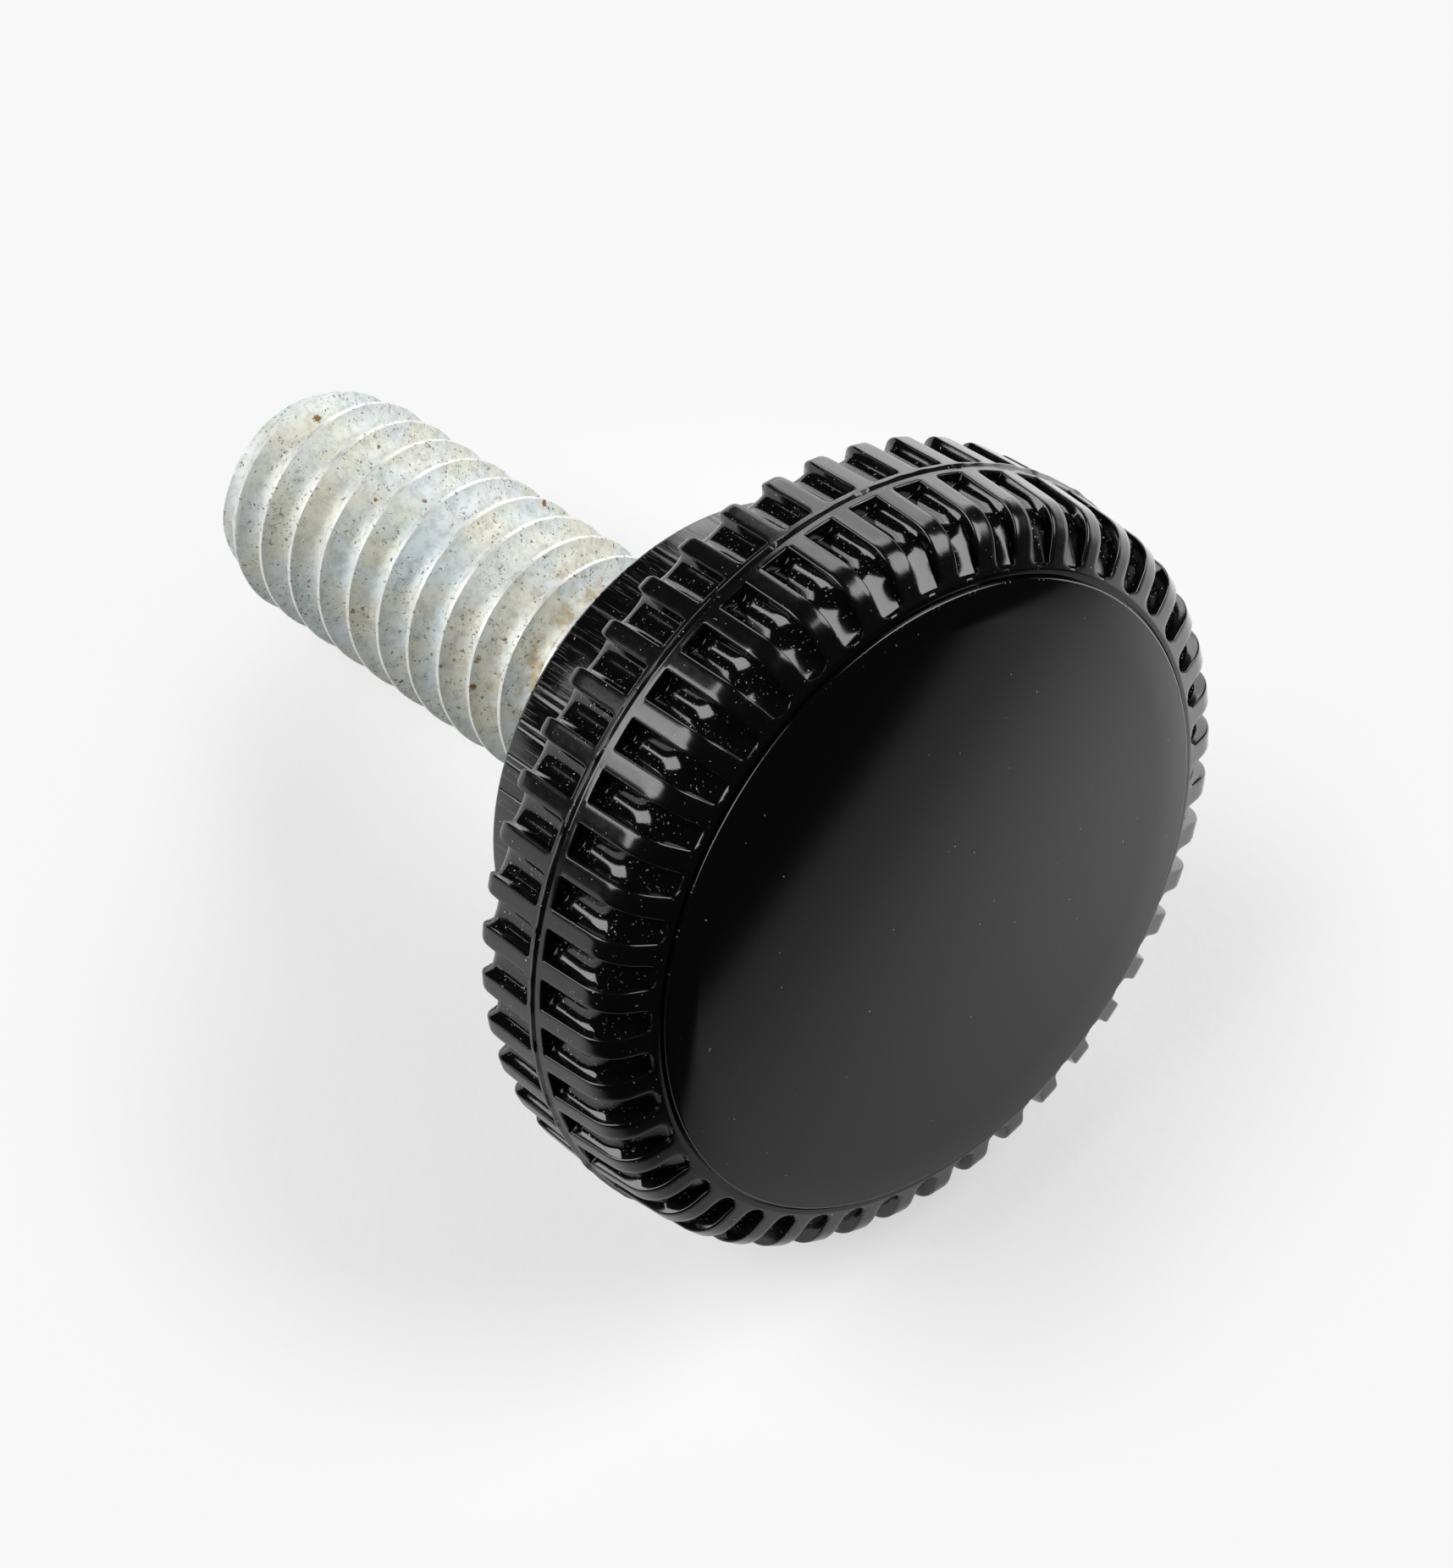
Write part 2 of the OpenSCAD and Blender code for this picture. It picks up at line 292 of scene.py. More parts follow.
def groove_section(head, top, floor, trim, sag):
    """Half of a groove's cross section for each row: angles from its middle and shares of its depth.

    Across the groove lie a hollow floor, a wall that leans outwards, a rounded edge and half a rib's top.
    The floor is a parabola that rises to the wall's foot, and the edge is one that cuts the wall's corner.
    trim narrows the groove, and sag is the share of the depth by which the floor rises.
    """
    run = np.linalg.norm(floor - top, axis=1)[:, None]
    deep = np.maximum(run, head.groove_edge * 3)
    y_top = groove_half(head, top[:, :1]) - trim[:, None]
    y_floor = groove_half(head, floor[:, :1]) - trim[:, None]
    wall = np.hypot(y_top - y_floor, deep)
    out = (y_top - y_floor) / wall
    down = deep / wall
    edge = np.minimum(head.groove_edge, 0.3 * wall)
    bend = np.array((0.0, 0.25, 0.5, 0.75, 1.0))
    turn = np.array((0.0, 0.5, 1.0))
    floor_y = (y_floor + (y_top - y_floor) * sag[:, None]) * bend
    floor_d = 1 - sag[:, None] * bend ** 2
    edge_y = y_top - out * edge * (1 - turn) ** 2 + edge * turn ** 2
    edge_d = down * edge * (1 - turn) ** 2 / deep
    y = np.concatenate((floor_y, edge_y), 1)
    depth = np.concatenate((floor_d, edge_d), 1)
    r = top[:, :1] + (floor[:, :1] - top[:, :1]) * depth
    a = np.arcsin(y / r)
    middle = np.full((len(top), 1), math.pi / head.groove_n)
    a = np.concatenate((a, (a[:, -1:] + middle) / 2, middle), 1)
    depth = np.concatenate((depth, np.zeros((len(top), 2))), 1)
    return a, depth


def stretch(top, floor, section, turn):
    """A run of rows: its points on the rib tops and on the groove floors, its section and its turn."""
    a, depth = (np.broadcast_to(part, (len(top), part.shape[-1])) for part in section)
    return {"top": top, "floor": floor, "angle": a, "depth": depth, "turn": np.full(len(top), turn)}


def plain(line, section, turn):
    """A run of rows with no grooves, shared out like the given section's one row."""
    return stretch(line, line, (section[0], np.zeros_like(section[1])), turn)


def face_line(head):
    """Section of the face: low parabolic dome, rounded edge, narrow groove at its foot and flat step."""
    face_r = head.face_d / 2
    foot_r = face_r + head.face_groove_w
    dome_r = face_r - head.face_edge_r
    rho = np.linspace(0.1, 1, DOME_STEPS + 1)[:-1]
    dome = np.stack((dome_r * rho, -head.face_h - head.face_dome * (1 - rho ** 2)), 1)
    rim = point(face_r, -head.face_h)
    edge = round_corner(point(0, -head.face_h), rim, point(face_r, 0), head.face_edge_r, 4)
    deep = -head.land_h + head.face_groove_depth
    groove = np.array((point(face_r, deep), point(foot_r, deep), point(foot_r, -head.land_h)))
    return np.concatenate((dome, edge, groove))


def front_rows(head):
    """Rows from the land to the parting line: closed groove ends, shoulder, end walls and plain strip."""
    head_r = head.head_d / 2
    land_r = head.face_d / 2 + head.step_w
    groove_r = land_r + head.land_w
    floor_r = head_r - head.front_depth
    fall = math.tan(head.bevel_a)
    draft = math.tan(head.front_draft)
    edge = head.groove_edge
    foot = head.front_root
    strip = head.front_strip

    def bevel(r):
        """Points of the sloping land at the given radii."""
        return np.stack((r, -head.land_h + (r - land_r) * fall), -1)

    corner_z = (head.land_h - (head_r - land_r) * fall) / (1 - draft * fall)
    corner = point(head_r - corner_z * draft, -corner_z)
    land = point(land_r, -head.land_h)
    shoulder = round_corner(land, corner, point(head_r, 0), head.shoulder_r, SHOULDER_STEPS)
    knee = point(floor_r, -strip - head.floor_straight)
    end_top = bevel(np.array(groove_r))
    end_floor = end_top + point(0, head.groove_end_depth)
    turn_in = round_corner(end_floor, knee, point(floor_r, 0), head.floor_turn_r, TURN_STEPS)

    reach = head.groove_end_r + edge
    end_edge = soft_corner(land, end_top, end_floor, edge, edge, 2)
    end_fillet = soft_corner(end_top, end_floor, knee, head.groove_end_depth - edge, reach, 5)
    end_line = np.concatenate((end_edge, end_fillet[1:]))
    end_r = np.linspace(groove_r - edge, groove_r + reach, len(end_line))
    end_tops = bevel(end_r)
    room = np.clip(end_r - groove_r, 0, head.groove_end_r)
    trim = head.groove_end_r - np.sqrt(head.groove_end_r ** 2 - (head.groove_end_r - room) ** 2)
    nominal = end_tops + point(0, head.groove_end_depth)
    sag = np.full(len(end_tops), END_SAG * head.groove_sag)
    section = groove_section(head, end_tops, nominal, trim, sag)
    ends = stretch(end_tops, end_line, section, head.front_turn)

    share_out = np.linspace(0, 1, GROOVE_ROWS + 1)[1:]
    last_top = point(head_r - (strip + foot) * draft, -strip - foot)
    tops = walk(np.concatenate((end_tops[-1:], shoulder, [last_top])), share_out)
    floors = walk(np.concatenate((end_line[-1:], turn_in, [point(floor_r, -strip - foot)])), share_out)
    sag = head.groove_sag * np.interp(share_out, (0.35, 0.6), (END_SAG, 1.0))
    section = groove_section(head, tops, floors, np.zeros(len(tops)), sag)
    grooves = stretch(tops, floors, section, head.front_turn)

    rim_top = point(head_r - strip * draft, -strip)
    rim_floor = point(floor_r, -strip)
    wall_root = soft_corner(knee, rim_floor, rim_top, foot, foot, 3)[1:]
    wall_edge = soft_corner(rim_floor, rim_top, point(head_r, 0), edge, edge, 2)
    wall = np.concatenate((wall_root, wall_edge))
    wall_z = np.linspace(-strip - foot, -strip + edge, len(wall) + 1)[1:]
    wall_tops = np.stack((head_r + wall_z * draft, wall_z), 1)
    last = (grooves["angle"][-1:], grooves["depth"][-1:])
    walls = stretch(wall_tops, wall, last, head.front_turn)

    cut = 0.3 * head.land_w
    land_edge = soft_corner(point(0, -head.land_h), land, end_top, cut, cut, 2)
    first = (ends["angle"][:1], ends["depth"][:1])
    face = plain(np.concatenate((face_line(head), land_edge)), first, head.front_turn)
    band = np.array((point(head_r - head.flash_w * draft, -head.flash_w),))
    return [face, ends, grooves, walls, plain(band, last, head.front_turn)]


def back_rows(head):
    """Rows from the parting line to the back: plain strip, end walls and grooves that run out behind."""
    head_r = head.head_d / 2
    floor_r = head_r - head.back_depth
    draft = math.tan(head.back_draft)
    edge = head.groove_edge
    root = head.back_root
    strip = head.back_strip
    back = point(0, head.back_h)
    rib_back = point(head_r - head.back_h * draft, head.back_h)
    rib_end = round_corner(point(head_r, 0), rib_back, back, head.back_edge_r, 6)
    floor_back = point(floor_r - head.back_h * draft, head.back_h)
    floor_end = round_corner(point(floor_r, 0), floor_back, back, head.back_edge_r, 7)

    rim_top = point(head_r - strip * draft, strip)
    rim_floor = point(floor_r - strip * draft, strip)
    wall_edge = soft_corner(point(head_r, 0), rim_top, rim_floor, edge, edge, 2)
    wall_root = soft_corner(rim_top, rim_floor, floor_back, root, root, 3)
    wall = np.concatenate((wall_edge, wall_root))
    wall_z = np.linspace(strip - edge, strip + root, len(wall))
    wall_tops = np.stack((head_r - wall_z * draft, wall_z), 1)

    straight = np.linspace(0, 1, 6)[1:-1]
    bent = np.linspace(0, 1, BACK_ROWS + 1)
    tops = np.concatenate((
        walk(np.array((wall_tops[-1], rib_end[0])), straight),
        walk(np.concatenate((rib_end, floor_end[-1:])), bent)))
    floors = np.concatenate((
        walk(np.array((wall[-1], floor_end[0])), straight), walk(floor_end, bent)))

    # Towards its back end a rib's side draws in along a quarter ellipse, cut short of its upright end.
    drawn_l = 1.5 * head.back_edge_r
    reach = np.clip((tops[:, 1] - head.back_h + drawn_l) / drawn_l, 0, 1)
    trim = -head.rib_taper * (1 - np.sqrt(1 - 0.96 * reach ** 2))
    sag = np.full(len(tops), BACK_SAG * head.groove_sag)
    grooves = stretch(tops, floors, groove_section(head, tops, floors, trim, sag), 0.0)
    first = (grooves["angle"][:1], grooves["depth"][:1])
    last = (grooves["angle"][-1:], grooves["depth"][-1:])
    band = np.array((point(head_r - head.flash_w * draft, head.flash_w),))
    return [plain(band, first, 0.0), stretch(wall_tops, wall, first, 0.0), grooves], last


def flash_rows(head, section):
    """Rows of the thin ridge of flash on the parting line."""
    head_r = head.head_d / 2
    z = np.array((-0.5, -0.2, 0.2, 0.5)) * head.flash_w
    r = head_r + np.array((-0.1, 1.0, 1.0, -0.1)) * head.flash_h
    rows = plain(np.stack((r, z), 1), section, 0.0)
    rows["turn"] = head.front_turn * (0.5 - z / head.flash_w)
    return rows


def boss_rows(head, stud, section):
    """Rows of the boss: fillet, drafted wall, rounded edge, flat end and the recess round the stud."""
    boss_r = head.boss_d / 2
    root_r = boss_r + (head.boss_h - head.back_h) * math.tan(head.boss_draft)
    foot = point(root_r, head.back_h)
    top = point(boss_r, head.boss_h)
    fillet = round_corner(point(head.head_d, head.back_h), foot, top, head.boss_fillet_r, 5)
    edge = round_corner(foot, top, point(0, head.boss_h), head.boss_edge_r, 4)
    wall = walk(np.array((fillet[-1], edge[0])), np.linspace(0, 1, 5)[1:-1])
    recess_r = stud.crest_d / 2 + stud.recess_gap
    recess_z = head.boss_h - stud.recess_l
    end = np.array((point(recess_r, head.boss_h), point(recess_r, recess_z),
                    point(stud.shank_d / 2, recess_z)))
    return plain(np.concatenate((fillet, wall, edge)), section, 0.0), plain(end, section, 0.0)


def ripple(a, waves, seed):
    """Uneven line round the axis, from -1 to 1: sine waves with whole counts and seeded phases."""
    draw = np.random.default_rng(seed)
    counts = np.array(waves)[:, None]
    phase = draw.uniform(0, 2 * math.pi, (len(waves), 1))
    weight = draw.uniform(0.4, 1, (len(waves), 1))
    lines = weight * np.sin(counts * a.reshape(1, -1) + phase)
    return (lines.sum(0) / weight.sum()).reshape(a.shape)


def ring_faces(rows, columns):
    """Quads of a grid of rows whose columns close round the axis, facing outwards."""
    here = np.arange(rows * columns).reshape(rows, columns)
    beside = np.roll(here, -1, axis=1)
    return np.stack((here[:-1], beside[:-1], beside[1:], here[1:]), -1).reshape(-1, 4)


def fan_faces(ring, pole, flip):
    """Triangles from a closed ring of points to a pole."""
    beside = np.roll(ring, -1)
    poles = np.full_like(ring, pole)
    pair = (beside, ring) if flip else (ring, beside)
    return np.stack((*pair, poles), -1)


def add_object(name, data):
    """An object with the given data, linked to the scene."""
    item = bpy.data.objects.new(name, data)
    bpy.context.scene.collection.objects.link(item)
    return item


def add_piece(name, points, faces, node, material):
    """A mesh object in the world's frame that rides on the body and replaces a node, which it hides."""
    mesh = bpy.data.meshes.new(name)
    mesh.from_pydata(points.tolist(), [], faces)
    mesh.validate()
    mesh.shade_smooth()
    mesh.set_sharp_from_angle(angle=SHARP_A)
    mesh.materials.append(material)
    piece = add_object(name, mesh)
    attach(piece, "root")
    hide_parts(node)
    return piece


def add_attribute(piece, name, values):
    """A value for each point of a piece, for its material to read."""
    attribute = piece.data.attributes.new(name, "FLOAT", "POINT")
    attribute.data.foreach_set("value", values.astype(np.float32))


def head_surface(head, stud):
    """Points, faces and point values of the head, as a grid of rows round its axis in the knob's own frame.

    A point is the rib top's point of its row, moved towards the groove floor's point by its share of the
    depth, and turned round the axis by its angle in the groove, the groove's own angle and the row's turn.
    """
    front = front_rows(head)
    back, last = back_rows(head)
    middle = (front[-1]["angle"][-1:], front[-1]["depth"][-1:])
    boss, end = boss_rows(head, stud, last)
    runs = [*front, flash_rows(head, middle), *back, boss, end]
    whole = {key: np.concatenate([run[key] for run in runs]) for key in runs[0]}
    mirrored = np.concatenate((-whole["angle"][:, :0:-1], whole["angle"][:, :-1]), 1)
    depth = np.concatenate((whole["depth"][:, :0:-1], whole["depth"][:, :-1]), 1)
    rows, columns = len(depth), depth.shape[1] * head.groove_n
    grooves = -math.pi + np.arange(head.groove_n) * 2 * math.pi / head.groove_n
    a = mirrored[:, None, :] + grooves[None, :, None] + whole["turn"][:, None, None]
    a = a.reshape(rows, columns)
    depth = np.tile(depth, (1, head.groove_n))
    span = whole["floor"] - whole["top"]
    r = whole["top"][:, :1] + span[:, :1] * depth
    z = whole["top"][:, 1:] + span[:, 1:] * depth

    counts = np.cumsum([0] + [len(run["top"]) for run in runs])
    flash = slice(counts[len(front)] + 1, counts[len(front) + 1] - 1)
    r[flash] += FLASH_UNEVEN * head.flash_h * ripple(a[flash], FLASH_WAVES, FLASH_SEED)
    wall = slice(counts[-3], counts[-2])
    r[wall] += head.scrape * ripple(a[wall], SCRAPE_WAVES, SCRAPE_SEED)

    ring = np.stack((r * np.cos(a), r * np.sin(a), z), -1).reshape(-1, 3)
    poles = np.array(((0, 0, -head.face_h - head.face_dome), (0, 0, whole["top"][-1, 1])))
    points = np.concatenate((ring, poles))
    size = len(ring)
    faces = ring_faces(rows, columns).tolist()
    faces += fan_faces(np.arange(columns), size, True).tolist()
    faces += fan_faces(np.arange(size - columns, size), size + 1, False).tolist()
    hollow = depth * np.linalg.norm(span, axis=1)[:, None] / head.front_depth
    scraped = np.zeros((rows, columns))
    scraped[wall] = 1
    disc = np.zeros((rows, columns))
    disc[:counts[1]] = 1
    values = {"hollow": hollow, "scraped": scraped, "disc": disc}
    ends = {"hollow": (0, 0), "scraped": (0, 0), "disc": (1, 0)}
    return points, faces, {key: np.append(value.ravel(), ends[key]) for key, value in values.items()}


def thread_depth(across):
    """Depth of the thread across one pitch, from 0 at the crests to 1 in the root: a rounded valley."""
    return 1 - np.abs(2 * np.clip(across, 0, 1) - 1) ** VALLEY_POWER


def stud_surface(head, stud):
    """Points, faces and depths of the stud: a grid whose rows follow the helix, cut off at both ends.

    At each column the rows climb by the pitch's share that the thread has turned. The radius is the
    crest's, less the thread's depth, and at the end no more than the tapered lead allows.
    """
    columns = STUD_COLUMNS
    start = head.boss_h + stud.seat_gap
    top = head.boss_h + stud.stud_l
    end = top - stud.end_edge * 0.4
    crest_r = stud.crest_d / 2
    end_r = stud.end_d / 2
    crest = stud.crest_w / stud.pitch
    across = np.append(crest / 2 + (1 - crest) * np.array(VALLEY), 1.0)
    turns = int(math.ceil(stud.stud_l / stud.pitch)) + 1
    climb = (np.arange(turns + 1)[:, None] + across[None, :] - 2).reshape(-1, 1)
    turned = np.arange(columns)[None, :] / columns
    z = np.clip(start + (climb + turned) * stud.pitch, start, end)
    place = ((z - start) / stud.pitch - turned) % 1.0
    r = crest_r - stud.depth * thread_depth((place - crest / 2) / (1 - crest))
    r = np.minimum(r, end_r + (crest_r - end_r) * (end - z) / stud.lead_l)
    a = 2 * math.pi * turned + stud.start_a + np.zeros_like(z)
    grid = np.stack((r * np.cos(a), r * np.sin(a), z), -1)
    rows = len(grid)
    here = np.arange(rows * columns).reshape(rows, columns)
    step = len(across)
    seam = np.concatenate((here[step:, :1], np.repeat(here[-1:, :1], step, 0)))
    beside = np.concatenate((here[:, 1:], seam), 1)
    quads = np.stack((here[:-1], beside[:-1], beside[1:], here[1:]), -1).reshape(-1, 4)

    collar = np.stack((np.cos(a[0]), np.sin(a[0])), -1)
    shank_r = stud.shank_d / 2
    recess_z = head.boss_h - stud.recess_l + stud.seat_gap
    extra = [np.column_stack((collar * shank_r, np.full(columns, recess_z))),
             np.column_stack((collar * shank_r, np.full(columns, start))),
             np.column_stack((collar * (end_r - stud.end_edge), np.full(columns, top)))]
    poles = np.array(((0, 0, recess_z), (0, 0, top)))
    points = np.concatenate((grid.reshape(-1, 3), *extra, poles))
    size = rows * columns
    base = size + np.arange(columns)
    lip = size + 2 * columns + np.arange(columns)
    joins = [(base, base + columns), (base + columns, here[0]), (here[-1], lip)]
    for low, high in joins:
        quads = np.concatenate((quads, np.stack((low, np.roll(low, -1), np.roll(high, -1), high), -1)))
    fans = np.concatenate((fan_faces(base, len(points) - 2, True), fan_faces(lip, len(points) - 1, False)))
    hollow = np.append(((crest_r - r) / stud.depth).ravel(), np.ones(len(points) - size))
    return points, quads, fans, hollow


def weld(points, quads, fans, hollow):
    """Joins points that coincide and leaves out the faces that this closes up."""
    keys = np.round(points / WELD_GAP).astype(np.int64)
    _, index, inverse = np.unique(keys, axis=0, return_index=True, return_inverse=True)
    inverse = inverse.reshape(-1)
    quads = inverse[quads]
    same = quads == np.roll(quads, -1, axis=1)
    whole = quads[~same.any(1)].tolist()
    once = same.sum(1) == 1
    three = quads[once][~same[once]].reshape(-1, 3)
    three = np.concatenate((three, inverse[fans]))
    distinct = (three[:, 0] != three[:, 1]) & (three[:, 1] != three[:, 2]) & (three[:, 2] != three[:, 0])
    return points[index], whole + three[distinct].tolist(), hollow[index]


def add_node(tree, kind, inputs=None, **settings):
    """A shader node with its settings; an input is a value, or the output that feeds it."""
    node = tree.nodes.new(kind)
    for key, value in settings.items():
        setattr(node, key, value)
    for key, value in (inputs or {}).items():
        if isinstance(value, bpy.types.NodeSocket):
            tree.links.new(value, node.inputs[key])
        else:
            node.inputs[key].default_value = value
    return node


def maths(tree, operation, a, b=0.0, c=0.0):
    """Output of a Math node."""
    return add_node(tree, "ShaderNodeMath", {0: a, 1: b, 2: c}, operation=operation).outputs[0]


def times(tree, a, b):
    """Product of two values."""
    return maths(tree, "MULTIPLY", a, b)


def blend(tree, share_in, a, b):
    """Output of a Mix node between two colours."""
    inputs = {"Factor": share_in, 6: a, 7: b}
    return add_node(tree, "ShaderNodeMix", inputs, data_type="RGBA").outputs[2]


def blend_value(tree, share_in, a, b):
    """Output of a Mix node between two values."""
    return add_node(tree, "ShaderNodeMix", {"Factor": share_in, 2: a, 3: b}).outputs[0]


def ramp(tree, value, low, high, to_low=0.0, to_high=1.0, kind="SMOOTHSTEP"):
    """Value mapped from one range to another and held at its ends, smoothly or, with LINEAR, evenly."""
    inputs = {"Value": value, 1: low, 2: high, 3: to_low, 4: to_high}
    return add_node(tree, "ShaderNodeMapRange", inputs, interpolation_type=kind).outputs[0]


def noise(tree, vector, scale, detail=2.0, rough=0.5):
    """Value of a Noise texture."""
    inputs = {"Vector": vector, "Scale": scale, "Detail": detail, "Roughness": rough}
    return add_node(tree, "ShaderNodeTexNoise", inputs).outputs[0]


def vector_value(tree, operation, a, b):
    """Number that a Vector Math node gives."""
    return add_node(tree, "ShaderNodeVectorMath", {0: a, 1: b}, operation=operation).outputs["Value"]


def point_value(tree, name):
    """Value that the points of a piece carry under a name."""
    return add_node(tree, "ShaderNodeAttribute", attribute_name=name).outputs["Fac"]


def new_group(name, values):
    """A node group from a vector and the given values to a mask, with its input and output nodes."""
    tree = bpy.data.node_groups.new(name, "ShaderNodeTree")
    tree.interface.new_socket("Vector", in_out="INPUT", socket_type="NodeSocketVector")
    for key, value in values.items():
        socket = tree.interface.new_socket(key, in_out="INPUT", socket_type="NodeSocketFloat")
        socket.default_value = value
    tree.interface.new_socket("Mask", in_out="OUTPUT", socket_type="NodeSocketFloat")
    return tree, tree.nodes.new("NodeGroupInput"), tree.nodes.new("NodeGroupOutput")


def specks_group(name):
    """Node group of scattered specks: in some cells of a Voronoi pattern a spot of uneven size."""
    tree, start, end = new_group(name, {"Cells per mm": 4.0, "Share": 0.2, "Size": 0.25})
    given = start.outputs
    wobble = add_node(tree, "ShaderNodeTexNoise", {"Vector": given["Vector"], "Scale": 14.0, "Detail": 1.0})
    inputs = {0: wobble.outputs["Color"], 1: (0.15, 0.15, 0.15), 2: given["Vector"]}
    bent = add_node(tree, "ShaderNodeVectorMath", inputs, operation="MULTIPLY_ADD").outputs[0]
    cells = add_node(tree, "ShaderNodeTexVoronoi", {"Vector": bent, "Scale": given["Cells per mm"]})
    parts = add_node(tree, "ShaderNodeSeparateColor", {0: cells.outputs["Color"]})
    chosen = maths(tree, "LESS_THAN", parts.outputs[0], given["Share"])
    reach = times(tree, given["Size"], maths(tree, "MULTIPLY_ADD", parts.outputs[1], 0.9, 0.25))
    near = maths(tree, "DIVIDE", cells.outputs["Distance"], reach)
    tree.links.new(times(tree, chosen, ramp(tree, near, 1.0, 0.55)), end.inputs["Mask"])
    return tree


def patches_group(name):
    """Node group of soft uneven patches: a noise pushed apart round a middle level."""
    tree, start, end = new_group(name, {"Patches per mm": 1.0, "Level": 0.5, "Softness": 0.1})
    given = start.outputs
    value = noise(tree, given["Vector"], given["Patches per mm"], 4.0, 0.6)
    low = maths(tree, "SUBTRACT", given["Level"], given["Softness"])
    high = maths(tree, "ADD", given["Level"], given["Softness"])
    tree.links.new(ramp(tree, value, low, high), end.inputs["Mask"])
    return tree


def shared_groups():
    """The node groups of specks and of patches, which are made on first use."""
    groups = bpy.data.node_groups
    makers = {"Scattered specks": specks_group, "Uneven patches": patches_group}
    return (groups.get(name) or make(name) for name, make in makers.items())


def use_group(tree, group, **inputs):
    """Output of a node group with the given inputs, an underscore standing for a space."""
    named = {key.replace("_", " "): value for key, value in inputs.items()}
    return add_node(tree, "ShaderNodeGroup", named, node_tree=group).outputs[0]


def new_material(name):
    """A material with a Principled shader, and its node tree."""
    material = bpy.data.materials.new(name)
    material.use_nodes = True
    tree = material.node_tree
    tree.nodes.clear()
    surface = tree.nodes.new("ShaderNodeBsdfPrincipled")
    out = tree.nodes.new("ShaderNodeOutputMaterial")
    tree.links.new(surface.outputs[0], out.inputs["Surface"])
    return material, tree, surface


def own_place(tree, origin, axes, along=1.0):
    """Place in the knob's own frame in millimetres, with z shrunk by the given factor for long marks."""
    place = add_node(tree, "ShaderNodeTexCoord").outputs["Object"]
    turn = Matrix(axes.T.tolist()).to_euler()
    inputs = {"Vector": place, "Location": origin, "Rotation": turn, "Scale": (MM, MM, MM * along)}
    return add_node(tree, "ShaderNodeMapping", inputs, vector_type="TEXTURE").outputs[0]


def feed(tree, surface, **inputs):
    """Links outputs to the shader's inputs, an underscore standing for a space."""
    for key, value in inputs.items():
        tree.links.new(value, surface.inputs[key.replace("_", " ")])


def add_bump(tree, surface, strength, depth, height):
    """Fine relief of a depth in millimetres, as the shader's normal."""
    inputs = {"Strength": strength, "Distance": MM * depth, "Height": height}
    feed(tree, surface, Normal=add_node(tree, "ShaderNodeBump", inputs).outputs[0])


def plastic_material(look, origin, axes):
    """Black glossy plastic with dust in the grooves, dulled rib tops and scrape marks on the boss."""
    material, tree, surface = new_material("Black plastic")
    specks, patches = shared_groups()
    place = own_place(tree, origin, axes)
    hollow = point_value(tree, "hollow")
    scraped = point_value(tree, "scraped")
    disc = point_value(tree, "disc")

    lodged = ramp(tree, hollow, 0.2, 0.8)
    loose = blend_value(tree, disc, look.dust_loose, look.dust_loose * 0.08)
    fine_share = maths(tree, "MULTIPLY_ADD", lodged, look.dust_lodged, loose)
    grit_share = maths(tree, "MULTIPLY_ADD", lodged, look.dust_lodged * 0.2, times(tree, loose, 0.5))
    fine = use_group(tree, specks, Vector=place, Cells_per_mm=16.0, Size=0.32, Share=fine_share)
    grit = use_group(tree, specks, Vector=place, Cells_per_mm=8.0, Size=0.18, Share=grit_share)
    dust = maths(tree, "MAXIMUM", fine, grit)
    lines = noise(tree, own_place(tree, origin, axes, 30.0), 11.0, 4.0, 0.75)
    scuff = times(tree, ramp(tree, lines, 0.52, 0.66), scraped)
    tint = blend(tree, scuff, (*look.plastic, 1), (*look.scuff, 1))
    feed(tree, surface, Base_Color=blend(tree, dust, tint, (*look.dust, 1)))

    film = use_group(tree, patches, Vector=place, Patches_per_mm=5.0, Level=0.55, Softness=0.2)
    clean = blend_value(tree, film, look.gloss, look.gloss * 1.4)
    handled = blend_value(tree, film, look.handled, look.handled * 1.3)
    open_top = times(tree, ramp(tree, hollow, 0.12, 0.02), maths(tree, "SUBTRACT", 1.0, scraped))
    smooth = blend_value(tree, disc, blend_value(tree, open_top, clean, handled), look.gloss * 0.7)
    worn = blend_value(tree, scuff, smooth, 0.4)
    feed(tree, surface, Roughness=blend_value(tree, dust, worn, 0.8))

    grain = times(tree, noise(tree, place, 24.0, 3.0, 0.6), blend_value(tree, disc, 1.0, 0.25))
    relief = maths(tree, "MULTIPLY_ADD", lines, times(tree, scraped, 5.0), grain)
    add_bump(tree, surface, 0.3, 0.003, relief)
    surface.inputs["IOR"].default_value = 1.5
    return material


